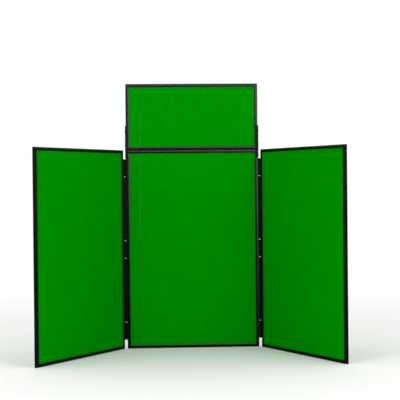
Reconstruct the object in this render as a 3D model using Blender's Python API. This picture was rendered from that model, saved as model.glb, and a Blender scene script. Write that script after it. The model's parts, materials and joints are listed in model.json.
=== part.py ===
"""Folding tabletop display board: three framed leaves on double-action hinges, and a lift-off header.

Metres, +Z up. X runs along the centre leaf and -Y is the front. The origin is the middle of the
underside of the centre leaf's bottom rail. Run with: blender --background --python part.py
"""

import math

import bmesh
import bpy
from mathutils import Matrix

# Leaves
LEAF_WIDTH = 0.600
WING_WIDTH = 0.600
LEAF_HEIGHT = 0.900
HEADER_HEIGHT = 0.300

# Frame extrusion: a channel that holds the board's edge, with a hollow chamber behind it
FRAME_DEPTH = 0.014
RAIL_FACE = 0.0145
RAIL_WALL = 0.0015
BOARD_SEAT = 0.0070  # from the frame's outer edge to the board's edge
EDGE_RADIUS = 0.0020
LIP_RADIUS = 0.0006
FABRIC_THICKNESS = 0.0012
FABRIC_PRESSED = 0.0008  # its thickness under the frame's lips

# Double-action hinge: two rods with a link between them
ROD_RADIUS = 0.0016
KNUCKLE_WALL = 0.0015
AXIS_OFFSET = 0.0016  # from the frame's edge face out to the rod's axis
ROD_SPACING = 0.0160
LINK_WEB = 0.0022
NECK_WIDTH = 0.0044  # of the neck that carries a knuckle on its rail
NECK_ROOT = 0.0008  # how far the neck runs into the rail's wall
HINGE_MARGIN = 0.040  # bare frame above and below the hinge
SHORT_KNUCKLE = 0.080
KNUCKLE_GAP = 0.0020  # between one knuckle's end and the next
WEB_SLOT = 0.0016  # height of the saw cut that runs on into the link's web
WEB_STRIP = 0.0032  # width of the web that the saw cut leaves
ROD_RECESS = 0.0010  # how far a rod's end lies inside the link's end
LEFT_WING_ANGLE = 54.5  # degrees forward of the centre leaf's plane
RIGHT_WING_ANGLE = 61.0

# Header brackets, with two screws each
BRACKET_WALL = 0.0012  # in front of the frame and behind it
BRACKET_WEB = 0.0030  # outside the frame's edge
BRACKET_FLANGE = 0.0090
BRACKET_ABOVE = 0.110
BRACKET_BELOW = 0.038
BRACKET_RADIUS = 0.0015
SCREW_RADIUS = 0.0017
SCREW_HEAD_RADIUS = 0.0033
SCREW_HEAD_HEIGHT = 0.0020
SCREW_LENGTH = 0.0060
SCREW_HEIGHTS = {"lower": 0.025, "upper": 0.085}  # above the header's bottom edge

# Fits
GAP = 0.0003  # between pieces that touch
BORE_CLEARANCE = 0.0003
COVE_CLEARANCE = 0.0004  # round a knuckle, where it turns in the edge of its neighbour

# Facets
CORNER_STEPS = 4
KNUCKLE_STEPS = 16
BORE_STEPS = 16
COVE_STEPS = 24

# Worked out from the above
HALF_DEPTH = FRAME_DEPTH / 2
SLOT_HALF = HALF_DEPTH - RAIL_WALL
CORE_HALF = SLOT_HALF - FABRIC_PRESSED - 2 * GAP
MITRE_GAP = GAP / math.sqrt(2)
BORE_RADIUS = ROD_RADIUS + BORE_CLEARANCE
KNUCKLE_RADIUS = BORE_RADIUS + KNUCKLE_WALL
COVE_RADIUS = KNUCKLE_RADIUS + COVE_CLEARANCE
COVE_DEPTH = COVE_RADIUS - AXIS_OFFSET
HINGE_LENGTH = LEAF_HEIGHT - 2 * HINGE_MARGIN
LONG_KNUCKLE = (HINGE_LENGTH - 3 * SHORT_KNUCKLE) / 2

# Colour (linear), roughness and metallic value of each material
FINISHES = {
    "black_pvc": ((0.012, 0.012, 0.012), 0.38, 0.0),
    "green_loop_nylon": ((0.0, 0.246, 0.0), 0.95, 0.0),
    "honeycomb_board": ((0.48, 0.34, 0.19), 0.85, 0.0),
    "zinc_steel": ((0.55, 0.56, 0.57), 0.35, 1.0),
}


def clear_scene():
    for obj in list(bpy.data.objects):
        bpy.data.objects.remove(obj, do_unlink=True)


def new_collection(name):
    collection = bpy.data.collections.new(name)
    bpy.context.scene.collection.children.link(collection)
    return collection


def finish(name):
    """The material of this name, made the first time it is asked for."""
    material = bpy.data.materials.get(name)
    if material:
        return material
    colour, roughness, metallic = FINISHES[name]
    material = bpy.data.materials.new(name)
    material.use_nodes = True
    shader = material.node_tree.nodes["Principled BSDF"]
    shader.inputs["Base Color"].default_value = (*colour, 1.0)
    shader.inputs["Roughness"].default_value = roughness
    shader.inputs["Metallic"].default_value = metallic
    return material


def add_object(name, mesh, collection, material=None, parent=None, matrix=None):
    obj = bpy.data.objects.new(name, mesh)
    collection.objects.link(obj)
    obj.parent = parent
    if matrix is not None:
        obj.matrix_basis = matrix
    if material and not mesh.materials:
        mesh.materials.append(finish(material))
    return obj


def add_pivot(name, location, angle=0.0, parent=None):
    """An empty on a joint's axis, turned about Z."""
    matrix = Matrix.Translation(location) @ Matrix.Rotation(angle, 4, "Z")
    return add_object(name, None, PARTS, parent=parent, matrix=matrix)


def arc(centre, radius, start, end, steps):
    """Points along an arc, with both ends; angles in degrees."""
    turns = [math.radians(start + (end - start) * i / steps) for i in range(steps + 1)]
    return [(centre[0] + radius * math.cos(a), centre[1] + radius * math.sin(a)) for a in turns]


def circle(centre, radius, steps):
    return arc(centre, radius, 0, 360, steps)[:-1]


def extruded(name, outlines, low, high):
    """A mesh with the section that the outlines draw in XY, holes included, from z = low to high."""
    curve = bpy.data.curves.new(name, "CURVE")
    curve.dimensions = "2D"
    curve.fill_mode = "BOTH"
    curve.extrude = (high - low) / 2
    for outline in outlines:
        spline = curve.splines.new("POLY")
        spline.points.add(len(outline) - 1)
        for point, (x, y) in zip(spline.points, outline):
            point.co = (x, y, 0, 1)
        spline.use_cyclic_u = True
    drawn = bpy.data.objects.new(name, curve)
    bpy.context.scene.collection.objects.link(drawn)
    depsgraph = bpy.context.evaluated_depsgraph_get()
    mesh = bpy.data.meshes.new_from_object(drawn.evaluated_get(depsgraph))
    bpy.data.objects.remove(drawn)
    bpy.data.curves.remove(curve)
    bm = bmesh.new()
    bm.from_mesh(mesh)
    bmesh.ops.remove_doubles(bm, verts=bm.verts, dist=1e-6)
    bmesh.ops.translate(bm, verts=bm.verts, vec=(0, 0, (high + low) / 2))
    bmesh.ops.recalc_face_normals(bm, faces=bm.faces)
    bm.to_mesh(mesh)
    bm.free()
    mesh.name = name
    return mesh


def block(name, low, high):
    """A box between two corners."""
    bm = bmesh.new()
    bmesh.ops.create_cube(bm, size=1.0)
    size = [b - a for a, b in zip(low, high)]
    centre = [(a + b) / 2 for a, b in zip(low, high)]
    bmesh.ops.scale(bm, verts=bm.verts, vec=size)
    bmesh.ops.translate(bm, verts=bm.verts, vec=centre)
    mesh = bpy.data.meshes.new(name)
    bm.to_mesh(mesh)
    bm.free()
    return mesh


def rod(name, radius, low, high, x=0.0, steps=BORE_STEPS):
    """A round bar along Z, from z = low to high."""
    bm = bmesh.new()
    bmesh.ops.create_cone(
        bm, cap_ends=True, segments=steps, radius1=radius, radius2=radius, depth=high - low
    )
    bmesh.ops.translate(bm, verts=bm.verts, vec=(x, 0, (low + high) / 2))
    mesh = bpy.data.meshes.new(name)
    bm.to_mesh(mesh)
    bm.free()
    return mesh


def shade_round(mesh):
    mesh.shade_smooth()
    mesh.set_sharp_from_angle(angle=math.radians(30))


def combine(obj, mesh, operation):
    """A Boolean of the object with a hidden mesh in the object's own frame."""
    tool = add_object(f"{obj.name}_{mesh.name}", mesh, TOOLS, parent=obj)
    tool.hide_render = True
    tool.display_type = "WIRE"
    modifier = obj.modifiers.new(mesh.name, "BOOLEAN")
    modifier.operation = operation
    modifier.solver = "EXACT"
    modifier.object = tool


def knuckle_spans():
    """The bottom and top of the five knuckles: three short ones, with the two long ones between."""
    spans = []
    bottom = HINGE_MARGIN
    for index in range(5):
        top = bottom + (LONG_KNUCKLE if index % 2 else SHORT_KNUCKLE)
        low = bottom + (KNUCKLE_GAP / 2 if index > 0 else 0)
        high = top - (KNUCKLE_GAP / 2 if index < 4 else 0)
        spans.append((low, high))
        bottom = top
    return spans


def rail_section(hinged):
    """The rail's outline and chamber: X runs in from the frame's outer edge, Y through its depth."""
    lip = [
        (BOARD_SEAT, SLOT_HALF),
        (RAIL_FACE, SLOT_HALF),
        (RAIL_FACE, HALF_DEPTH - LIP_RADIUS),
        (RAIL_FACE - LIP_RADIUS, HALF_DEPTH),
    ]
    corner = arc((EDGE_RADIUS, HALF_DEPTH - EDGE_RADIUS), EDGE_RADIUS, 90, 180, CORNER_STEPS)
    edge = []
    chamber_start = RAIL_WALL
    if hinged:
        reach = math.degrees(math.acos(AXIS_OFFSET / COVE_RADIUS))
        edge = arc((-AXIS_OFFSET, 0), COVE_RADIUS, reach, -reach, CORNER_STEPS * 2)
        chamber_start = COVE_DEPTH + RAIL_WALL
    back = lip + corner
    front = [(x, -y) for x, y in reversed(back)]
    chamber_end = BOARD_SEAT - RAIL_WALL
    chamber = [
        (chamber_start, -SLOT_HALF),
        (chamber_end, -SLOT_HALF),
        (chamber_end, SLOT_HALF),
        (chamber_start, SLOT_HALF),
    ]
    return [back + edge + front, chamber]


def knuckle_section():
    """A knuckle round its rod, and the neck that joins it to the rail."""
    half_neck = NECK_WIDTH / 2
    turn = math.degrees(math.asin(half_neck / KNUCKLE_RADIUS))
    centre = (-AXIS_OFFSET, 0)
    root = COVE_DEPTH + NECK_ROOT
    outline = [(root, -half_neck), (root, half_neck)]
    outline += arc(centre, KNUCKLE_RADIUS, turn, 360 - turn, KNUCKLE_STEPS)
    return [outline, circle(centre, BORE_RADIUS, BORE_STEPS)]


def mitred(mesh, length):
    """Moves the ends of a rail's mesh to 45 degree planes that meet the next rail's."""
    for vertex in mesh.vertices:
        end = length / 2 - vertex.co.x - MITRE_GAP
        vertex.co.z = math.copysign(end, vertex.co.z)
    return mesh


def add_rail(name, length, parent, matrix, spans=()):
    """One mitred side of a frame. A hinge rail has knuckles, given as heights along the rail."""
    mesh = mitred(extruded(name, rail_section(bool(spans)), -length / 2, length / 2), length)
    rail = add_object(name, mesh, PARTS, "black_pvc", parent, matrix)
    for index, (low, high) in enumerate(spans):
        low, high = low - length / 2, high - length / 2
        combine(rail, extruded(f"knuckle_{index}", knuckle_section(), low, high), "UNION")
    return rail


def add_board(name, parent, place, width, height):
    """The core board and its two skins: pressed under the frame's lips, and thicker inside them."""

    def slab(label, inset, *depths):
        near, far = sorted(depths)
        half = width / 2 - inset
        return block(label, (-half, near, inset), (half, far, height - inset))

    board_edge, field_edge = BOARD_SEAT + GAP, RAIL_FACE + GAP
    core = slab(f"{name}_core", board_edge, -CORE_HALF, CORE_HALF)
    add_object(f"{name}_core", core, PARTS, "honeycomb_board", parent, place)
    for face, side in (("front", -1), ("back", 1)):
        pressed = [(CORE_HALF + GAP + depth) * side for depth in (0, FABRIC_PRESSED)]
        full = [(CORE_HALF + GAP + depth) * side for depth in (FABRIC_PRESSED / 2, FABRIC_THICKNESS)]
        label = f"{name}_fabric_{face}"
        skin = slab(label, board_edge, *pressed)
        fabric = add_object(label, skin, PARTS, "green_loop_nylon", parent, place)
        combine(fabric, slab("field", field_edge, *full), "UNION")


def add_leaf(name, parent, width, height, middle, sides):
    """A framed board, standing on z = 0 of its parent, with its middle at x = middle.

    sides gives the left and right rails' names, and the knuckles of each.
    """
    place = Matrix.Translation((middle, 0, 0))
    add_board(name, parent, place, width, height)

    quarter, half_turn = math.pi / 2, math.pi
    stand = place @ Matrix.Translation((0, 0, height / 2))
    left, right = sides
    left_place = stand @ Matrix.Translation((-width / 2, 0, 0))
    add_rail(f"{name}_{left[0]}", height, parent, left_place, left[1])
    right_turn = Matrix.Rotation(half_turn, 4, "Z")
    right_place = stand @ Matrix.Translation((width / 2, 0, 0)) @ right_turn
    add_rail(f"{name}_{right[0]}", height, parent, right_place, right[1])
    bottom_place = place @ Matrix.Rotation(-quarter, 4, "Y")
    add_rail(f"{name}_rail_bottom", width, parent, bottom_place)
    top_place = place @ Matrix.Translation((0, 0, height)) @ Matrix.Rotation(quarter, 4, "Y")
    add_rail(f"{name}_rail_top", width, parent, top_place)


def link_section(outward):
    """Two knuckles joined by a web: the inner rod at the origin, the outer one at outward."""
    half_web = LINK_WEB / 2
    turn = math.degrees(math.asin(half_web / KNUCKLE_RADIUS))
    inner = arc((0, 0), KNUCKLE_RADIUS, turn, 360 - turn, KNUCKLE_STEPS)
    outer = arc((ROD_SPACING, 0), KNUCKLE_RADIUS, 180 + turn, 540 - turn, KNUCKLE_STEPS)
    bores = [circle((0, 0), BORE_RADIUS, BORE_STEPS)]
    bores += [circle((ROD_SPACING, 0), BORE_RADIUS, BORE_STEPS)]
    return [[(x * outward, y) for x, y in loop] for loop in (inner + outer, *bores)]


def add_link(name, parent, outward, spans):
    """The link, cut away round the leaves' knuckles and slotted between them."""
    low, high = HINGE_MARGIN, LEAF_HEIGHT - HINGE_MARGIN
    link = add_object(name, extruded(name, link_section(outward), low, high), PARTS, "black_pvc", parent)
    for index, (bottom, top) in enumerate(spans):
        x = ROD_SPACING * outward if index % 2 else 0.0
        cove = (bottom - KNUCKLE_GAP, top + KNUCKLE_GAP)
        combine(link, rod(f"cove_{index}", COVE_RADIUS, *cove, x, COVE_STEPS), "DIFFERENCE")
    slot_end = (ROD_SPACING - COVE_RADIUS - WEB_STRIP) * outward
    near, far = sorted((-KNUCKLE_RADIUS * outward, slot_end))
    for index, (bottom, _) in enumerate(spans[1:]):
        middle = bottom - KNUCKLE_GAP / 2
        corners = (near, -LINK_WEB, middle - WEB_SLOT / 2), (far, LINK_WEB, middle + WEB_SLOT / 2)
        combine(link, block(f"saw_cut_{index}", *corners), "DIFFERENCE")
    return link


def add_hinge_rod(name, parent):
    low, high = HINGE_MARGIN + ROD_RECESS, LEAF_HEIGHT - HINGE_MARGIN - ROD_RECESS
    mesh = rod(name, ROD_RADIUS, low, high)
    shade_round(mesh)
    return add_object(name, mesh, PARTS, "zinc_steel", parent)


def add_hinged_wing(side, outward, angle, spans):
    """A link on the centre leaf's edge and a wing on the link, each turned by half the wing's angle."""
    half_turn = -outward * math.radians(angle) / 2
    axis = ((LEAF_WIDTH / 2 + AXIS_OFFSET) * outward, 0, 0)
    link_pivot = add_pivot(f"{side}_link_pivot", axis, half_turn)
    wing_pivot = add_pivot(f"{side}_wing_pivot", (ROD_SPACING * outward, 0, 0), half_turn, link_pivot)
    rod_place = add_pivot(f"{side}_rod_axis", axis)
    add_hinge_rod(f"{side}_hinge_rod_inner", rod_place)
    add_link(f"{side}_hinge_link", link_pivot, outward, spans)
    add_hinge_rod(f"{side}_hinge_rod_outer", wing_pivot)
    hinge_side, free_side = ("rail_hinge", spans[1::2]), ("rail_outer", ())
    sides = (hinge_side, free_side) if outward > 0 else (free_side, hinge_side)
    middle = (AXIS_OFFSET + WING_WIDTH / 2) * outward
    add_leaf(f"{side}_wing", wing_pivot, WING_WIDTH, LEAF_HEIGHT, middle, sides)


def bracket_section(outward):
    """A channel round the frame's edge, with the edge face at x = 0 and the web outside it."""
    inner, outer = HALF_DEPTH + GAP, HALF_DEPTH + GAP + BRACKET_WALL
    web_in, web_out = GAP, GAP + BRACKET_WEB
    corner = arc((web_out - BRACKET_RADIUS, outer - BRACKET_RADIUS), BRACKET_RADIUS, 90, 0, CORNER_STEPS)
    back = [(web_in, inner), (-BRACKET_FLANGE, inner), (-BRACKET_FLANGE, outer)] + corner
    front = [(x, -y) for x, y in reversed(back)]
    return [[(x * outward, y) for x, y in back + front]]


def screw_mesh(name):
    """A pan-head screw on the X axis: its head's underside at x = 0 and its point at -X."""
    dome = arc((0, 0), 1.0, 0, 90, CORNER_STEPS)
    profile = [(SCREW_HEAD_HEIGHT * y, SCREW_HEAD_RADIUS * x) for x, y in reversed(dome)]
    profile += [(0, SCREW_RADIUS), (SCREW_RADIUS - SCREW_LENGTH, SCREW_RADIUS), (-SCREW_LENGTH, 0)]
    bm = bmesh.new()
    points = [bm.verts.new((x, r, 0)) for x, r in profile]
    edges = [bm.edges.new(pair) for pair in zip(points, points[1:])]
    bmesh.ops.spin(
        bm, geom=points + edges, axis=(1, 0, 0), cent=(0, 0, 0), angle=math.tau, steps=BORE_STEPS
    )
    bmesh.ops.remove_doubles(bm, verts=bm.verts, dist=1e-6)
    bmesh.ops.recalc_face_normals(bm, faces=bm.faces)
    mesh = bpy.data.meshes.new(name)
    bm.to_mesh(mesh)
    bm.free()
    shade_round(mesh)
    return mesh


def add_bracket(side, outward, parent):
    """A bracket on the header's side, its two screws, and the holes for them."""
    edge = Matrix.Translation((LEAF_WIDTH / 2 * outward, 0, 0))
    mesh = extruded(f"{side}_header_bracket", bracket_section(outward), -BRACKET_BELOW, BRACKET_ABOVE)
    bracket = add_object(mesh.name, mesh, PARTS, "black_pvc", parent, edge)
    rail = bpy.data.objects[f"header_rail_{side}"]
    across = Matrix.Rotation(math.pi / 2, 4, "Y")
    hole_radius = SCREW_RADIUS + BORE_CLEARANCE
    head_seat = (GAP + BRACKET_WEB + GAP) * outward
    turn = Matrix.Rotation(0 if outward > 0 else math.pi, 4, "Z")
    for level, height in SCREW_HEIGHTS.items():
        name = f"{side}_bracket_screw_{level}"
        at = Matrix.Translation((head_seat, 0, height))
        add_object(name, screw_mesh(name), PARTS, "zinc_steel", parent, edge @ at @ turn)
        for piece in (bracket, rail):
            hole = rod(f"screw_hole_{level}", hole_radius, -SCREW_LENGTH, SCREW_LENGTH)
            reach = Matrix.Translation((head_seat, 0, height)) @ across
            hole.transform(piece.matrix_basis.inverted() @ edge @ reach)
            combine(piece, hole, "DIFFERENCE")


clear_scene()
PARTS = new_collection("folding_display_board")
TOOLS = new_collection("cutters")
SPANS = knuckle_spans()

centre = add_pivot("centre_leaf", (0, 0, 0))
add_leaf(
    "centre", centre, LEAF_WIDTH, LEAF_HEIGHT, 0.0,
    (("rail_left", SPANS[0::2]), ("rail_right", SPANS[0::2])),
)
add_hinged_wing("left", -1, LEFT_WING_ANGLE, SPANS)
add_hinged_wing("right", 1, RIGHT_WING_ANGLE, SPANS)

header = add_pivot("header_slide", (0, 0, LEAF_HEIGHT + GAP))
add_leaf("header", header, LEAF_WIDTH, HEADER_HEIGHT, 0.0, (("rail_left", ()), ("rail_right", ())))
add_bracket("left", -1, header)
add_bracket("right", 1, header)
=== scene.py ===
"""Dresses the folding display board: three framed leaves, double-action hinges and a lift-off header.

Metres, +Z up, -Y to the front. Each new piece is a surface worked out with numpy in the place
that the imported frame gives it, and stands for the plain solid of the same part.
"""

import json
import math

import bpy
import numpy as np
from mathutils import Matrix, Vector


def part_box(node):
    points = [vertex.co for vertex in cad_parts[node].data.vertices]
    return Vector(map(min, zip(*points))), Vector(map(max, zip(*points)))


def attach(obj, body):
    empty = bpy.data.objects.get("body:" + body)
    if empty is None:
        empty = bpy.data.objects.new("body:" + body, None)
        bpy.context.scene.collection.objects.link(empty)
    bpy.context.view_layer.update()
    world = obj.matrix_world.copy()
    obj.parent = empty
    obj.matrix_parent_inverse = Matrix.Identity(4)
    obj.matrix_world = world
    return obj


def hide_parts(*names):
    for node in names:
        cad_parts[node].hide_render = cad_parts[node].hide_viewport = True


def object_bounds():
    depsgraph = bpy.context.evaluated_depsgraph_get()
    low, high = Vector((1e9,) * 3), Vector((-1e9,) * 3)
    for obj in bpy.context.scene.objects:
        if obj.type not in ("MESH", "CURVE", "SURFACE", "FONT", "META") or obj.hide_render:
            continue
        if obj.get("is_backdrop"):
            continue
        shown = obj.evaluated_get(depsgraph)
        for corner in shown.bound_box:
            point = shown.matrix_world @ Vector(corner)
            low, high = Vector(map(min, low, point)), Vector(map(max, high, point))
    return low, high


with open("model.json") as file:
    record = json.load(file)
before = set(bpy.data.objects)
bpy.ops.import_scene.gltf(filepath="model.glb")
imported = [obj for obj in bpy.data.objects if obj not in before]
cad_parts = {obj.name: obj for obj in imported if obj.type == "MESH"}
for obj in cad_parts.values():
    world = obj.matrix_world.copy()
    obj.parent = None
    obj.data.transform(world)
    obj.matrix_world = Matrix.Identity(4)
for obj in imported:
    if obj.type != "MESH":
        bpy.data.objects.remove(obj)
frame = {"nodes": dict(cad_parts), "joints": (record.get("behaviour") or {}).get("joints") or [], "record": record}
cad_low, cad_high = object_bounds()


# ---------------------------------------------------------------- core boards
# The stiff middle of each board: paper honeycomb between two kraft liners, glued up as a sheet and
# sawn to size. The skins and rails cover all of it, so only its own solid is kept, in kraft brown.

KRAFT = "#B08E63"
KRAFT_DARK = "#93734B"
FIBRE_CLUMP = 0.003  # size of the darker fibre clumps in recycled liner


def linear(colour):
    """An sRGB hex colour as linear red, green, blue and alpha."""
    value = np.array([int(colour[i:i + 2], 16) for i in (1, 3, 5)]) / 255
    return (*np.where(value <= 0.04045, value / 12.92, ((value + 0.055) / 1.055) ** 2.4), 1.0)


def add(tree, kind, inputs=None, **settings):
    """A node: settings are its properties, and inputs are plain values or the sockets that feed it."""
    node = tree.nodes.new(kind)
    for name, value in settings.items():
        setattr(node, name, value)
    for key, value in (inputs or {}).items():
        if isinstance(value, bpy.types.NodeSocket):
            tree.links.new(value, node.inputs[key])
        else:
            node.inputs[key].default_value = value
    return node


def new_material(name, **sockets):
    """A material with one Principled shader, and the values of the shader's own sockets."""
    material = bpy.data.materials.new(name)
    material.use_nodes = True
    shader = material.node_tree.nodes["Principled BSDF"]
    for socket, value in sockets.items():
        shader.inputs[socket.replace("_", " ")].default_value = value
    return material, material.node_tree, shader


kraft, tree, shader = new_material("kraft_honeycomb_board", Roughness=0.85)
place = add(tree, "ShaderNodeTexCoord").outputs["Object"]
fibres = add(tree, "ShaderNodeTexNoise", {"Vector": place, "Scale": 1 / FIBRE_CLUMP, "Detail": 5.0})
tone = add(
    tree, "ShaderNodeMix", {0: fibres.outputs["Fac"], 6: linear(KRAFT), 7: linear(KRAFT_DARK)},
    data_type="RGBA",
)
tree.links.new(tone.outputs[2], shader.inputs["Base Color"])

for leaf in ("centre", "left_wing", "right_wing", "header"):
    core = frame["nodes"][f"{leaf}_core"]
    core.data.materials.clear()
    core.data.materials.append(kraft)


# ---------------------------------------------------------------- loop-nylon skins
# Both faces of each board are brushed loop nylon, which hook tape grips. It is warp-knitted in one
# piece, dyed green, laminated flat on the core, and pressed down where the frame's lips hold it.

GREEN = "#009E00"  # of the loops' tops
GREEN_PAINTED_SHADE = "#006F00"  # painted shade, down between them
GREEN_RIM = "#10A010"  # of the soft rim that the nap shows from a low angle
LOOP = 0.0011  # from one loop to the next: too fine to show from the camera, as on the real cloth
LOOP_RELIEF = 0.0007
# how far the painted shade between the loops darkens the green
LOOP_SHADE = 0.75
WALE = 0.0016  # between the knitted ribs, which run up the board
WALE_RELIEF = 0.3  # as a share of a loop's
HANDLED = 0.07  # size of the patches where the nap lies another way
HANDLED_SHADE = 0.08
WIDTH = 0.600
HEIGHTS = {"centre": 0.900, "left_wing": 0.900, "right_wing": 0.900, "header": 0.300}
BOARD_INSET = 0.0073  # of the board's edge from the frame's outer edge
RAIL_FACE = 0.0145  # from the frame's outer edge to its lips
PRESSED_FACE = 0.0049  # from the board's middle plane to the skin under a lip
NAP_FACE = 0.0056  # and to the skin inside the frame
NAP_TUCK = 0.0004  # how far under the lip the nap starts to rise
NAP_LEAD = 0.0002  # from the first of the lines across the rise to its start
NAP_ROLL = 0.0030  # width over which it rises
MARGIN_LINE = 0.0040  # a line this far from the skin's edge keeps its margin flat
CELL = 0.010
SKIN_THICKNESS = 0.0007

mounts = {mount["name"]: mount for mount in frame["record"]["mounts"]}


def leaf_axes(leaf):
    """A leaf's origin, in the middle of its underside, and its unit axes: right, back and up."""
    faces = [np.array(mounts[f"{leaf}_{side}"]["pos_m"]) for side in ("front", "back")]
    back = np.array(mounts[f"{leaf}_back"]["axis"])
    origin = (faces[0] + faces[1]) / 2
    origin[2] -= HEIGHTS[leaf] / 2
    up = np.array([0.0, 0.0, 1.0])
    return origin, np.array([back[1], -back[0], 0.0]), back, up


def grid_lines(length):
    """Lines across a board of this size: close together at the lips, and then one to a cell."""
    margin = BOARD_INSET + np.array([0.0, MARGIN_LINE])
    rise = RAIL_FACE - NAP_TUCK - NAP_LEAD + NAP_ROLL * np.linspace(0, 1, 9)
    start = np.concatenate([margin, rise])
    count = max(2, round((length - 2 * start[-1]) / CELL))
    middle = np.linspace(start[-1], length - start[-1], count + 1)[1:-1]
    return np.concatenate([start, middle, length - start[::-1]])


def skin_points(leaf, side):
    """A board's skin, at (s, t) across and up it. Its depth goes from the pressed face's to the nap's
    as u (2 - u), where u is the distance in from the nearest lip's tuck over the width of the roll."""
    origin, right, back, up = leaf_axes(leaf)
    s, t = grid_lines(WIDTH), grid_lines(HEIGHTS[leaf])
    from_side, from_end = np.minimum(s, WIDTH - s), np.minimum(t, HEIGHTS[leaf] - t)
    inside = np.minimum(from_side[None, :], from_end[:, None]) - (RAIL_FACE - NAP_TUCK)
    u = np.clip(inside / NAP_ROLL, 0, 1)
    depth = side * (PRESSED_FACE + (NAP_FACE - PRESSED_FACE) * u * (2 - u))
    across = (s - WIDTH / 2)[None, :, None] * right
    return origin + across + t[:, None, None] * up + depth[..., None] * back, s, t


def cells(rows, columns):
    """The corners of each cell of a grid, anticlockwise: an array of their rows and one of columns."""
    i, j = (index.ravel() for index in np.mgrid[:rows, :columns])
    turn = np.array([[0, 0], [0, 1], [1, 1], [1, 0]])
    return i[:, None] + turn[:, 0], j[:, None] + turn[:, 1]


def add_piece(name, points, faces, uv, material, body, slot, *nodes):
    """An object of these points, faces and UVs that rides on a body and stands for CAD nodes."""
    mesh = bpy.data.meshes.new(name)
    mesh.from_pydata(points, [], faces)
    mesh.uv_layers.new(name="surface").data.foreach_set("uv", np.ravel(uv))
    mesh.materials.append(material)
    mesh.shade_smooth()
    piece = bpy.data.objects.new(name, mesh)
    bpy.context.scene.collection.objects.link(piece)
    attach(piece, body)
    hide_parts(*nodes)
    return piece


loop_nylon, tree, shader = new_material(
    # Brushed loops scatter light every way: no gloss at all, and a faint soft rim of the same green.
    "brushed_loop_nylon", Roughness=1.0, Specular_IOR_Level=0.0, Sheen_Weight=0.08,
    Sheen_Roughness=0.6, Sheen_Tint=linear(GREEN_RIM),
)
place = add(tree, "ShaderNodeUVMap", uv_map="surface").outputs["UV"]
patches = add(tree, "ShaderNodeTexNoise", {"Vector": place, "Scale": 1 / HANDLED, "Detail": 3.0})
loops = add(tree, "ShaderNodeTexVoronoi", {"Vector": place, "Scale": 1 / LOOP, "Randomness": 0.9})
ribs = add(  # a Wave node draws 20 / tau bands to a unit
    tree, "ShaderNodeTexWave", {"Vector": place, "Scale": math.tau / 20 / WALE, "Distortion": 1.0},
    bands_direction="X",
)
handled = add(
    tree, "ShaderNodeMapRange",
    {"Value": patches.outputs["Fac"], "From Min": 0.35, "From Max": 0.65, "To Max": HANDLED_SHADE},
)
# The green darkens down between the loops as painted shade, and the random patches add their own tone to it.
painted_shade_and_patches = add(
    tree, "ShaderNodeMath",
    {0: loops.outputs["Distance"], 1: LOOP_SHADE, 2: handled.outputs["Result"]},
    operation="MULTIPLY_ADD",
)
tone = add(
    tree, "ShaderNodeMix", {0: painted_shade_and_patches.outputs["Value"], 6: linear(GREEN), 7: linear(GREEN_PAINTED_SHADE)},
    data_type="RGBA",
)
relief = add(
    tree, "ShaderNodeMath",
    {0: ribs.outputs["Fac"], 1: WALE_RELIEF, 2: loops.outputs["Distance"]},
    operation="MULTIPLY_ADD",
)
bump = add(
    tree, "ShaderNodeBump",
    {"Height": relief.outputs["Value"], "Strength": 0.9, "Distance": LOOP_RELIEF},
    invert=True,
)
tree.links.new(tone.outputs[2], shader.inputs["Base Color"])
tree.links.new(bump.outputs["Normal"], shader.inputs["Normal"])

for leaf, height in HEIGHTS.items():
    for face, side in (("front", -1), ("back", 1)):
        points, s, t = skin_points(leaf, side)
        row, column = (corner[:, ::-side] for corner in cells(len(t) - 1, len(s) - 1))
        quads = row * len(s) + column
        uv = np.stack([s[column], t[row]], -1)
        skin = add_piece(
            f"{leaf}_{face}_skin", points.reshape(-1, 3), quads, uv, loop_nylon, leaf,
            "loop_nylon", f"{leaf}_fabric_{face}",
        )
        wall = skin.modifiers.new("cloth", "SOLIDIFY")
        wall.thickness = SKIN_THICKNESS
        wall.offset = -1.0


# ---------------------------------------------------------------- frame rails
# Each board is edged with four lengths of black PVC channel, extruded with rounded outer edges,
# mitred at the corners and glued on. A hinge rail is coved along its edge for its knuckles.

PVC_BLACK = "#080708"
PVC_WORN = "#121113"
DIE_LINE = 0.0005  # spacing of the fine lines that an extrusion die leaves
DIE_RUN = 0.080  # and how far one of them runs
DIE_RELIEF = 0.00003
DIE_DULLING = 0.06  # of the shine along those lines
SCUFF = 0.018
SCUFF_DULLING = 0.10
HALF_DEPTH = 0.0070
SLOT_HALF = 0.0055
BOARD_SEAT = 0.0070
EDGE_RADIUS = 0.0020
LIP_RADIUS = 0.0006
CROWN_RADIUS = 0.0500  # of the faces, which stand a third of a millimetre proud in their middle
MITRE_GAP = 0.0003 / math.sqrt(2)
RAIL_BEVEL = 0.0002
SHARP_EDGE = 40.0  # degrees between two faces, above which an edge is broken with a bevel
AXIS_OUT = 0.0016  # of a rod's axis from the frame's edge face
BORE_RADIUS = 0.0019
KNUCKLE_RADIUS = 0.0034
COVE_RADIUS = 0.0038
BARREL_CHAMFER = 0.0003
HALF_NECK = 0.0022
NECK = (0.0006, 0.0030)  # a neck's ends, in from the frame's edge face
HINGE_MARGIN = 0.040  # bare frame below the hinge, and above it
SHORT_KNUCKLE = 0.080
LONG_KNUCKLE = 0.290
KNUCKLE_GAP = 0.0020
ROUND_STEPS = 48
RECTANGLE = np.array([(-1, -1), (1, -1), (1, 1), (-1, 1)])

# Where each knuckle starts and ends above the leaf's bottom edge: half a gap short of the next one.
cuts = HINGE_MARGIN + np.cumsum([0, *(SHORT_KNUCKLE, LONG_KNUCKLE) * 2, SHORT_KNUCKLE])
half_gaps = np.array([0, 1, 1, 1, 1, 0]) * KNUCKLE_GAP / 2
KNUCKLES = list(zip((cuts + half_gaps)[:-1], (cuts - half_gaps)[1:]))


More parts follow.
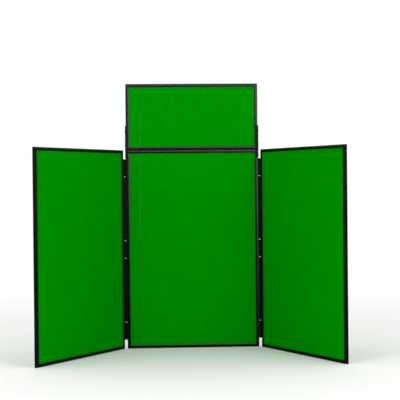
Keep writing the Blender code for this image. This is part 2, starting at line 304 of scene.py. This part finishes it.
def arc(centre, radius, start, end, steps):
    """Points on a circular arc from one angle to another, in degrees, as a (steps + 1, 2) array."""
    angle = np.radians(np.linspace(start, end, steps + 1))
    return np.array(centre) + radius * np.stack([np.cos(angle), np.sin(angle)], -1)


def rail_section(coved):
    """The channel's outline, in from the frame's outer edge and through its depth, anticlockwise.

    A face is a shallow arc of CROWN_RADIUS, and the arc at each end of it, of a smaller radius, has
    its centre on the circle of CROWN_RADIUS less that radius, so that the two meet without a ridge.
    """
    crown = np.array([(EDGE_RADIUS + RAIL_FACE - LIP_RADIUS) / 2, HALF_DEPTH - CROWN_RADIUS])
    half = crown[0] - EDGE_RADIUS
    lip = 90 - math.degrees(math.asin(half / (CROWN_RADIUS - LIP_RADIUS)))
    edge = 90 + math.degrees(math.asin(half / (CROWN_RADIUS - EDGE_RADIUS)))
    lip_centre = arc(crown, CROWN_RADIUS - LIP_RADIUS, lip, lip, 0)[0]
    edge_centre = arc(crown, CROWN_RADIUS - EDGE_RADIUS, edge, edge, 0)[0]
    back = np.concatenate([
        [(BOARD_SEAT, SLOT_HALF), (RAIL_FACE, SLOT_HALF)],
        arc(lip_centre, LIP_RADIUS, 0, lip, 4),
        arc(crown, CROWN_RADIUS, lip, edge, 10)[1:-1],
        arc(edge_centre, EDGE_RADIUS, edge, 180, 8),
    ])
    reach = math.degrees(math.acos(AXIS_OUT / COVE_RADIUS))
    cove = arc((-AXIS_OUT, 0), COVE_RADIUS, reach, -reach, 16) if coved else np.empty((0, 2))
    return np.concatenate([back, cove, (back * (1, -1))[::-1]])


def tube(loops, around, along, ring=False):
    """A surface through closed loops, given as a (rows, columns, 3) array: quads from each loop to
    the next, and a flat cap on each end, or a ring if the last loop joins the first.

    around and along are the places of the grid's lines on the surface, in metres, for its UVs.
    """
    rows, columns = loops.shape[:2]
    row, column = cells(rows - (not ring), columns)
    faces = list((row % rows) * columns + column % columns)
    along = np.broadcast_to(along.reshape(len(along), -1), (len(along), columns + 1))
    uv = [np.stack([around[column], along[row, column]], -1).reshape(-1, 2)]
    if not ring:
        for row, column in ((0, np.arange(columns)[::-1]), (rows - 1, np.arange(columns))):
            faces.append(row * columns + column)
            uv.append(np.stack([around[column], along[row, column]], -1))
    return loops.reshape(-1, 3), faces, np.concatenate(uv)


def swept(section, low, high, origin, axes):
    """A section carried straight along the third axis, from low to high, each of which may be one
    height or one for each point of the section, as where the end is cut at an angle."""
    low, high = (np.broadcast_to(end, len(section)) for end in (low, high))
    loops = [origin + np.column_stack([section, end]) @ np.array(axes) for end in (low, high)]
    step = np.linalg.norm(np.diff(section, axis=0, append=section[:1]), axis=1)
    heights = np.array([np.append(low, low[0]), np.append(high, high[0])])
    return tube(np.array(loops), np.append(0, np.cumsum(step)), heights)


def circles(profile):
    """A circle of ROUND_STEPS points round the third axis for each (radius, height) of a profile."""
    angle = np.linspace(0, math.tau, ROUND_STEPS, endpoint=False)
    radius, height = np.array(profile).T
    flat = radius[:, None, None] * np.stack([np.cos(angle), np.sin(angle)], -1)
    return np.concatenate([flat, np.broadcast_to(height[:, None, None], (*flat.shape[:2], 1))], -1)


def turned(profile, origin, axes, ring=False):
    """A profile of (radius, height) turned round the third axis, from its first point to its last."""
    loops = origin + circles(profile) @ np.array(axes)
    around = np.linspace(0, math.tau, ROUND_STEPS + 1) * max(radius for radius, _ in profile)
    steps = np.hypot(*np.diff(np.array(profile), axis=0, append=[profile[0]]).T)
    along = np.append(0, np.cumsum(steps))[:len(profile) + ring]
    return tube(loops, around, along, ring)


def barrel(low, high, origin, axes):
    """A knuckle's round wall: a ring with a bore, from low to high, with broken outer edges."""
    chamfer, inner, outer = BARREL_CHAMFER, BORE_RADIUS, KNUCKLE_RADIUS
    profile = [
        (inner, high), (inner, low), (outer - chamfer, low), (outer, low + chamfer),
        (outer, high - chamfer), (outer - chamfer, high),
    ]
    return turned(profile, origin, axes, ring=True)


def joined(surfaces):
    """Several surfaces as the points, faces and UVs of one mesh."""
    points, faces, uv = zip(*surfaces)
    starts = np.cumsum([0] + [len(part) for part in points])
    faces = [face + start for start, part in zip(starts, faces) for face in part]
    return np.concatenate(points), faces, np.concatenate(uv)


def finish_edges(piece, width):
    """Breaks the sharp edges with a fine bevel, and keeps the flat faces flat under the shading."""
    bevel = piece.modifiers.new("broken_edges", "BEVEL")
    bevel.width = width
    bevel.segments = 2
    bevel.limit_method = "ANGLE"
    bevel.angle_limit = math.radians(SHARP_EDGE)
    bevel.harden_normals = True
    piece.modifiers.new("flat_faces", "WEIGHTED_NORMAL").keep_sharp = True


def extruded_plastic(name, colour, worn, roughness, **sockets):
    """Black PVC from the die: fine lines along the length and dull scuffs across them.

    The lines and scuffs are in the roughness, and the lines in the bump, on the piece's own UVs.
    """
    material, tree, shader = new_material(name, **sockets)
    place = add(tree, "ShaderNodeUVMap", uv_map="surface").outputs["UV"]
    drawn = add(
        tree, "ShaderNodeMapping", {"Vector": place, "Scale": (1 / DIE_LINE, 1 / DIE_RUN, 1.0)}
    ).outputs["Vector"]
    lines = add(tree, "ShaderNodeTexNoise", {"Vector": drawn, "Scale": 1.0, "Detail": 2.0})
    rubbed = add(tree, "ShaderNodeTexNoise", {"Vector": place, "Scale": 1 / SCUFF, "Detail": 6.0})
    scuffs = add(
        tree, "ShaderNodeMapRange",
        {"Value": rubbed.outputs["Fac"], "From Min": 0.50, "From Max": 0.75},
    )
    tone = add(
        tree, "ShaderNodeMix", {0: scuffs.outputs["Result"], 6: linear(colour), 7: linear(worn)},
        data_type="RGBA",
    )
    dull = add(
        tree, "ShaderNodeMath",
        {0: scuffs.outputs["Result"], 1: SCUFF_DULLING, 2: roughness - DIE_DULLING / 2},
        operation="MULTIPLY_ADD",
    )
    rough = add(
        tree, "ShaderNodeMath", {0: lines.outputs["Fac"], 1: DIE_DULLING, 2: dull.outputs["Value"]},
        operation="MULTIPLY_ADD",
    )
    bump = add(
        tree, "ShaderNodeBump",
        {"Height": lines.outputs["Fac"], "Strength": 0.15, "Distance": DIE_RELIEF},
    )
    tree.links.new(tone.outputs[2], shader.inputs["Base Color"])
    tree.links.new(rough.outputs["Value"], shader.inputs["Roughness"])
    tree.links.new(bump.outputs["Normal"], shader.inputs["Normal"])
    return material


# Satin from the die: it shows a soft image of what is bright in the room, and is near black elsewhere.
rail_pvc = extruded_plastic("extruded_black_pvc", PVC_BLACK, PVC_WORN, 0.16, IOR=1.53)

for leaf, height in HEIGHTS.items():
    origin, right, back, up = leaf_axes(leaf)
    sides = {"rail_bottom": (WIDTH, origin, up), "rail_top": (WIDTH, origin + height * up, -up)}
    for name, side in (("left", -1), ("right", 1)):
        is_wing = leaf.endswith("wing")
        hinged = leaf == "centre" or (is_wing and not leaf.startswith(name))
        label = ("rail_hinge" if hinged else "rail_outer") if is_wing else f"rail_{name}"
        sides[label] = (height, origin + side * WIDTH / 2 * right + height / 2 * up, -side * right)
    for label, (length, middle, inward) in sides.items():
        hinged = label == "rail_hinge" or (leaf == "centre" and label in ("rail_left", "rail_right"))
        section = rail_section(hinged)
        axes = (inward, back, np.cross(inward, back))
        end = length / 2 - section[:, 0] - MITRE_GAP
        surfaces = [swept(section, -end, end, middle, axes)]
        if hinged:
            foot = middle - height / 2 * up
            upright = (inward, np.cross(up, inward), up)
            neck = (sum(NECK) / 2, 0) + np.array([(NECK[1] - NECK[0]) / 2, HALF_NECK]) * RECTANGLE
            for low, high in KNUCKLES[0::2] if leaf == "centre" else KNUCKLES[1::2]:
                surfaces.append(barrel(low, high, foot - AXIS_OUT * inward, upright))
                surfaces.append(swept(neck, low, high, foot, upright))
        rail = add_piece(
            f"{leaf}_{label}_channel", *joined(surfaces), rail_pvc, leaf, "black_pvc",
            f"{leaf}_{label}",
        )
        finish_edges(rail, RAIL_BEVEL)


# ---------------------------------------------------------------- hinge links
# Between two leaves runs a black PVC link: a thin web with a knuckle along each edge, cut away in
# turn where the leaves' own knuckles sit, and sawn through between them so that it lies straight.

ROD_SPACING = 0.0160
HALF_WEB = 0.0011
WEB_ROOT = 0.0024  # from a rod's axis to where the web ends, inside its knuckle's wall
WEB_REACH = 0.0002  # of the web past a knuckle's end, as far as the saw cut
SAWN_STRIP = 0.0032  # width of the web that each saw cut leaves
STRIP_LAP = 0.0010  # of that strip past the ends of the knuckles beside the cut
STRIP_SHY = 0.00005  # keeps the strip's faces just inside the web's
LINK_BEVEL = 0.00015

joints = {joint["name"]: joint for joint in frame["joints"]}
hinge_axes = {}
for side in ("left", "right"):
    inner, outer = (np.array(joints[f"{side}_hinge_{rod}"]["pos_m"]) for rod in ("inner", "outer"))
    outward = (outer - inner) / np.linalg.norm(outer - inner)
    hinge_axes[side] = (inner, outer, outward)


def web_section(round_end, coved_end):
    """The web beside a knuckle: square where it runs into the barrel, and hollowed at its far end to
    clear the other leaf's knuckle, whose rod is at x = coved_end."""
    turn = math.degrees(math.asin(HALF_WEB / COVE_RADIUS))
    toward = 1 if round_end > coved_end else -1
    start = 0 if toward > 0 else 180
    cove = arc((coved_end, 0), COVE_RADIUS, start + turn, start - turn, 6)
    root = round_end - toward * WEB_ROOT
    return np.concatenate([cove, [(root, -toward * HALF_WEB), (root, toward * HALF_WEB)]])


for side, (inner, outer, outward) in hinge_axes.items():
    axes = (outward, np.cross((0.0, 0.0, 1.0), outward), (0.0, 0.0, 1.0))
    surfaces = []
    for index, (low, high) in enumerate(KNUCKLES):
        rod = 0.0 if index % 2 else ROD_SPACING
        surfaces.append(barrel(low, high, inner + rod * outward, axes))
        low -= WEB_REACH * (index > 0)
        high += WEB_REACH * (index < len(KNUCKLES) - 1)
        surfaces.append(swept(web_section(rod, ROD_SPACING - rod), low, high, inner, axes))
    middle = ROD_SPACING - COVE_RADIUS - SAWN_STRIP / 2
    strip = (middle, 0) + np.array([SAWN_STRIP / 2, HALF_WEB - STRIP_SHY]) * RECTANGLE
    for (_, low), (high, _) in zip(KNUCKLES, KNUCKLES[1:]):
        surfaces.append(swept(strip, low - STRIP_LAP, high + STRIP_LAP, inner, axes))
    link = add_piece(
        f"{side}_hinge_link_extrusion", *joined(surfaces), rail_pvc, f"{side}_link", "black_pvc",
        f"{side}_hinge_link",
    )
    finish_edges(link, LINK_BEVEL)


# ---------------------------------------------------------------- hinge rods
# A bright zinc-plated steel rod runs the whole length of each hinge, through every knuckle on its
# axis. It was cropped and chamfered at both ends, and sits just inside the knuckles' ends.

ZINC = "#C4C6C9"
CLOUD = 0.002  # size of the soft patches in the plating's shine
CLOUD_SHINE = 0.1  # how far they take its roughness up and down
ROD_RADIUS = 0.0016
ROD_RECESS = 0.0010
ROD_CHAMFER = 0.0004


def plated_steel(name, roughness):
    """Zinc-plated steel: a grey metal with soft cloudy patches in its shine."""
    material, tree, shader = new_material(name, Metallic=1.0)
    shader.inputs["Base Color"].default_value = linear(ZINC)
    place = add(tree, "ShaderNodeTexCoord").outputs["Object"]
    clouds = add(tree, "ShaderNodeTexNoise", {"Vector": place, "Scale": 1 / CLOUD, "Detail": 4.0})
    limits = {"To Min": roughness - CLOUD_SHINE, "To Max": roughness + CLOUD_SHINE}
    shine = add(tree, "ShaderNodeMapRange", {"Value": clouds.outputs["Fac"], **limits})
    tree.links.new(shine.outputs["Result"], shader.inputs["Roughness"])
    return material


drawn_zinc = plated_steel("zinc_plated_drawn_rod", 0.32)
for side, (inner, outer, outward) in hinge_axes.items():
    low, high = KNUCKLES[0][0] + ROD_RECESS, KNUCKLES[-1][1] - ROD_RECESS
    profile = [
        (ROD_RADIUS - ROD_CHAMFER, low), (ROD_RADIUS, low + ROD_CHAMFER),
        (ROD_RADIUS, high - ROD_CHAMFER), (ROD_RADIUS - ROD_CHAMFER, high),
    ]
    for rod, axis, body in (("inner", inner, "centre"), ("outer", outer, f"{side}_wing")):
        piece = add_piece(
            f"{side}_{rod}_rod", *turned(profile, axis, np.eye(3)), drawn_zinc, body, "hinge_rod",
            f"{side}_hinge_rod_{rod}",
        )
        piece.data.set_sharp_from_angle(angle=math.radians(30))


# ---------------------------------------------------------------- header brackets
# A matt black channel on each side of the header reaches down past its bottom rail and slips over
# the centre leaf's edges. It is cut square from extruded strip, with softly rounded outer corners.

BRACKET_BLACK = "#070707"
BRACKET_WORN = "#0E0E0F"
BRACKET_WALL = 0.0012
BRACKET_WEB = 0.0030
BRACKET_FIT = 0.0003
BRACKET_FLANGE = 0.0090
BRACKET_CORNER = 0.0015
BRACKET_BEVEL = 0.00025

# Matt from a textured die: the same black with hardly any image of the room in it.
bracket_pvc = extruded_plastic(
    "matt_black_pvc", BRACKET_BLACK, BRACKET_WORN, 0.50, IOR=1.53, Specular_IOR_Level=0.22
)


def bracket_section():
    """The channel's outline: X out from the board's edge face, Y through its depth, anticlockwise."""
    inner, web_in = HALF_DEPTH + BRACKET_FIT, BRACKET_FIT
    outer, web_out = inner + BRACKET_WALL, web_in + BRACKET_WEB
    corner = arc((web_out - BRACKET_CORNER, outer - BRACKET_CORNER), BRACKET_CORNER, 0, 90, 8)
    flange = [(-BRACKET_FLANGE, outer), (-BRACKET_FLANGE, inner), (web_in, inner)]
    back = np.concatenate([corner, flange])
    return np.concatenate([back, (back * (1, -1))[::-1]])


for side, out in (("left", -1), ("right", 1)):
    low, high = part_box(f"{side}_header_bracket")
    outward = np.array([out, 0.0, 0.0])
    axes = (outward, (0.0, float(out), 0.0), (0.0, 0.0, 1.0))
    edge = np.array([WIDTH / 2 * out, 0.0, 0.0])
    bracket = add_piece(
        f"{side}_bracket_channel", *swept(bracket_section(), low.z, high.z, edge, axes), bracket_pvc,
        "header", "black_pvc", f"{side}_header_bracket",
    )
    finish_edges(bracket, BRACKET_BEVEL)


# ---------------------------------------------------------------- bracket screws
# Two zinc-plated pan-head screws hold each bracket to the header's side rail. The heads were cold
# formed, with a cross recess punched in them.

HEAD_RADIUS = 0.0033
HEAD_HEIGHT = 0.0020
HEAD_FLATNESS = 6.0  # powers that shape the dome: flat over the middle, and steep at the rim
HEAD_STEEPNESS = 2.4
SHANK_RADIUS = 0.0017
SHANK_LENGTH = 0.0060
SHANK_TIP = 0.0002
RECESS_DEPTH = 0.0011
RECESS_REACH = 0.0019
RECESS_HALF = 0.00042
RECESS_SLOPE = 0.00016

# The circles of points on a head, as shares of its radius: even over the recess, closer at the rim.
HEAD_CIRCLES = np.concatenate([np.linspace(0.04, 0.7, 18), np.linspace(0.74, 1, 12) ** 0.6])


def soft_step(distance):
    """From 0 to 1 as the distance goes from below nought to above it, over about RECESS_SLOPE."""
    return 1 / (1 + np.exp(-distance / (RECESS_SLOPE / 2)))


def screw_surface(origin, axes):
    """A pan-head screw. The head's height at a share u of its radius is that of the head times
    (1 - u^HEAD_FLATNESS)^(1 / HEAD_STEEPNESS), less a cross whose arms are each the product of two
    soft steps, one across the arm and one along it."""
    dome = HEAD_HEIGHT * (1 - HEAD_CIRCLES ** HEAD_FLATNESS) ** (1 / HEAD_STEEPNESS)
    head = circles(np.column_stack([HEAD_RADIUS * HEAD_CIRCLES, dome]))
    x, y = abs(head[..., 0]), abs(head[..., 1])
    arms = [
        soft_step(RECESS_HALF - across) * soft_step(RECESS_REACH - reach)
        for across, reach in ((x, y), (y, x))
    ]
    head[..., 2] -= RECESS_DEPTH * np.maximum(*arms)
    taper = SHANK_RADIUS - SHANK_LENGTH
    shank = circles([(SHANK_RADIUS, 0), (SHANK_RADIUS, taper), (SHANK_TIP, -SHANK_LENGTH)])
    loops = origin + np.concatenate([head, shank])[::-1] @ np.array(axes)
    around = np.linspace(0, math.tau * HEAD_RADIUS, ROUND_STEPS + 1)
    return tube(loops, around, np.linspace(0, HEAD_RADIUS + SHANK_LENGTH, len(loops)))


formed_zinc = plated_steel("zinc_plated_screw_head", 0.38)
for side, out in (("left", -1), ("right", 1)):
    for level in ("lower", "upper"):
        low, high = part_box(f"{side}_bracket_screw_{level}")
        seat = high.x - HEAD_HEIGHT if out > 0 else low.x + HEAD_HEIGHT
        origin = np.array([seat, (low.y + high.y) / 2, (low.z + high.z) / 2])
        axes = ((0.0, float(out), 0.0), (0.0, 0.0, 1.0), (float(out), 0.0, 0.0))
        screw = add_piece(
            f"{side}_{level}_screw", *screw_surface(origin, axes), formed_zinc, "header", "zinc_screw",
            f"{side}_bracket_screw_{level}",
        )
        screw.data.set_sharp_from_angle(angle=math.radians(50))


# ---------------------------------------------------------------- floor and background
# A plain pale floor takes the board's soft shadow, and runs out into the white behind it. It isn't
# mirrored in the black frame, which shows the dim room in front of the board low down, as on a desk.

FLOOR = "#F3F3F2"
FLOOR_HALF = 40.0
FLOOR_DROP = 0.0002  # of the floor below the board's feet, so that no two faces lie in one plane
FLOOR_NEAR = 1.0  # from the middle of the board to where the floor starts to turn white
FLOOR_FAR = 3.2  # and to where it is plain white


def shown_plain(tree):
    """1 for a ray straight from the camera, or one from it through something clear, and else 0."""
    paths = add(tree, "ShaderNodeLightPath").outputs
    rays = {0: paths["Is Camera Ray"], 1: paths["Is Transmission Ray"]}
    return add(tree, "ShaderNodeMath", rays, operation="ADD").outputs["Value"]


floor_paint, tree, shader = new_material("pale_floor_paint", Roughness=0.9, Specular_IOR_Level=0.0)
shader.inputs["Base Color"].default_value = linear(FLOOR)
place = add(tree, "ShaderNodeTexCoord").outputs["Object"]
reach = add(tree, "ShaderNodeVectorMath", {0: place}, operation="LENGTH").outputs["Value"]
far = add(
    tree, "ShaderNodeMapRange",
    {"Value": reach, "From Min": FLOOR_NEAR, "From Max": FLOOR_FAR, "To Max": shown_plain(tree)},
    interpolation_type="SMOOTHSTEP",
)
white = add(tree, "ShaderNodeEmission", {"Color": (1, 1, 1, 1), "Strength": 1.0})
mixed = add(
    tree, "ShaderNodeMixShader",
    {0: far.outputs["Result"], 1: shader.outputs[0], 2: white.outputs[0]},
)
tree.links.new(mixed.outputs[0], tree.nodes["Material Output"].inputs["Surface"])

mesh = bpy.data.meshes.new("floor")
corners = np.column_stack([FLOOR_HALF * RECTANGLE, np.full(4, cad_low[2] - FLOOR_DROP)])
mesh.from_pydata(corners, [], [(0, 1, 2, 3)])
mesh.materials.append(floor_paint)
floor = bpy.data.objects.new("floor", mesh)
floor.visible_glossy = False
bpy.context.scene.collection.objects.link(floor)
floor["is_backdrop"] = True


# ---------------------------------------------------------------- studio light
# The world is a soft studio: white behind the board, dim in front of it near the horizon, and brighter
# above and to the sides. A long bright cloth hangs in front, over the camera and a little lower on the
# right, and two large softboxes stand before the board, one on either side.

DIM = 0.03
DOME = 0.66
SIDES = 1.25
CLOTH = 2.1
CLOTH_SLANT = 0.5
LAMP_POWER = 62.0
LAMP_SIZE = 1.6
LAMP_REACH = 6.0
LAMP_LIFT = 0.5
LAMP_SIDE = 38.0  # degrees round from the front, to either side
LAMP_RISE = 24.0

# Soft edges, each from where there is no light to where it is full, on the X, Y or Z of a direction.
CLOTH_FOOT = (0.03, 0.14)
CLOTH_HEAD = (0.24, 0.14)
CLOTH_SIDE = (-0.80, -0.96)
DOME_FOOT = (0.06, 0.32)
BACKDROP_SIDE = (0.35, 0.75)
BACKDROP_FOOT = (-0.02, 0.02)

world = bpy.data.worlds.new("studio")
bpy.context.scene.world = world
world.use_nodes = True
tree = world.node_tree
tree.nodes.clear()


def patch(level, *edges):
    """A patch of light: this level inside all its soft edges, each given as (along what, edge)."""
    for along, (outside, inside) in edges:
        step = {"Value": along, "From Min": outside, "From Max": inside, "To Max": level}
        level = add(tree, "ShaderNodeMapRange", step, interpolation_type="SMOOTHSTEP").outputs[0]
    return level


place = add(tree, "ShaderNodeTexCoord").outputs["Generated"]
toward = add(tree, "ShaderNodeSeparateXYZ", {0: place}).outputs
across, away, up = (toward[axis] for axis in "XYZ")
slanted = add(tree, "ShaderNodeMath", {0: across, 1: CLOTH_SLANT, 2: up}, operation="MULTIPLY_ADD")
cloth = patch(CLOTH, (slanted.outputs[0], CLOTH_FOOT), (up, CLOTH_HEAD), (away, CLOTH_SIDE))
backdrop = patch(1.0, (away, BACKDROP_SIDE), (up, BACKDROP_FOOT))
aside = add(tree, "ShaderNodeMath", {0: across, 1: across}, operation="MULTIPLY").outputs[0]
dome = add(tree, "ShaderNodeMath", {0: aside, 1: SIDES, 2: DOME}, operation="MULTIPLY_ADD").outputs[0]
risen = patch(1.0 - DIM, (up, DOME_FOOT))
room = add(tree, "ShaderNodeMath", {0: dome, 1: risen, 2: cloth}, operation="MULTIPLY_ADD").outputs[0]
room = add(tree, "ShaderNodeMath", {0: dome, 1: DIM, 2: room}, operation="MULTIPLY_ADD").outputs[0]
strength = add(tree, "ShaderNodeMix", {0: backdrop, 2: room, 3: 1.0}).outputs[0]
studio = add(tree, "ShaderNodeBackground", {"Color": (1, 1, 1, 1), "Strength": strength})
white = add(tree, "ShaderNodeBackground", {"Color": (1, 1, 1, 1), "Strength": 1.0})

# The camera sees white all round, and a mirror-like surface sees it behind the board.
glossy = add(tree, "ShaderNodeLightPath").outputs["Is Glossy Ray"]
plain = add(
    tree, "ShaderNodeMath", {0: glossy, 1: backdrop, 2: shown_plain(tree)}, operation="MULTIPLY_ADD"
)
mixed = add(
    tree, "ShaderNodeMixShader", {0: plain.outputs[0], 1: studio.outputs[0], 2: white.outputs[0]}
)
add(tree, "ShaderNodeOutputWorld", {"Surface": mixed.outputs[0]})

rise = math.radians(LAMP_RISE)
for side in (-1, 1):
    lamp = bpy.data.lights.new("side_softbox", "AREA")
    lamp.energy = LAMP_POWER
    lamp.size = LAMP_SIZE
    turn = math.radians(side * LAMP_SIDE)
    level = np.array([math.sin(turn), -math.cos(turn), 0.0])
    softbox = bpy.data.objects.new(lamp.name, lamp)
    softbox.location = LAMP_REACH * (math.cos(rise) * level + (0, 0, math.sin(rise))) + (0, 0, LAMP_LIFT)
    softbox.rotation_euler = (math.pi / 2 - rise, 0, turn)
    softbox.visible_camera = False
    bpy.context.scene.collection.objects.link(softbox)


# ---------------------------------------------------------------- camera and colour
# The camera stands well back and a little left of the middle, at six tenths of the board's height,
# and looks almost level, with a long lens. Colours show as they are, through the standard view.

CAMERA_PLACE = (-0.20292, -4.87344, 0.72498)
CAMERA_TURN = (89.3722, 0.5349, -2.7975)  # degrees about X, Y and Z
LENS = 96.393  # millimetres, on a sensor 36 mm wide
SENSOR = 36.0

camera = bpy.data.objects.new("camera", bpy.data.cameras.new("camera"))
camera.location = CAMERA_PLACE
camera.rotation_euler = [math.radians(angle) for angle in CAMERA_TURN]
camera.data.lens = LENS
camera.data.sensor_width = SENSOR
bpy.context.scene.collection.objects.link(camera)
bpy.context.scene.camera = camera
bpy.context.scene.view_settings.view_transform = "Standard"

low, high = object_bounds()
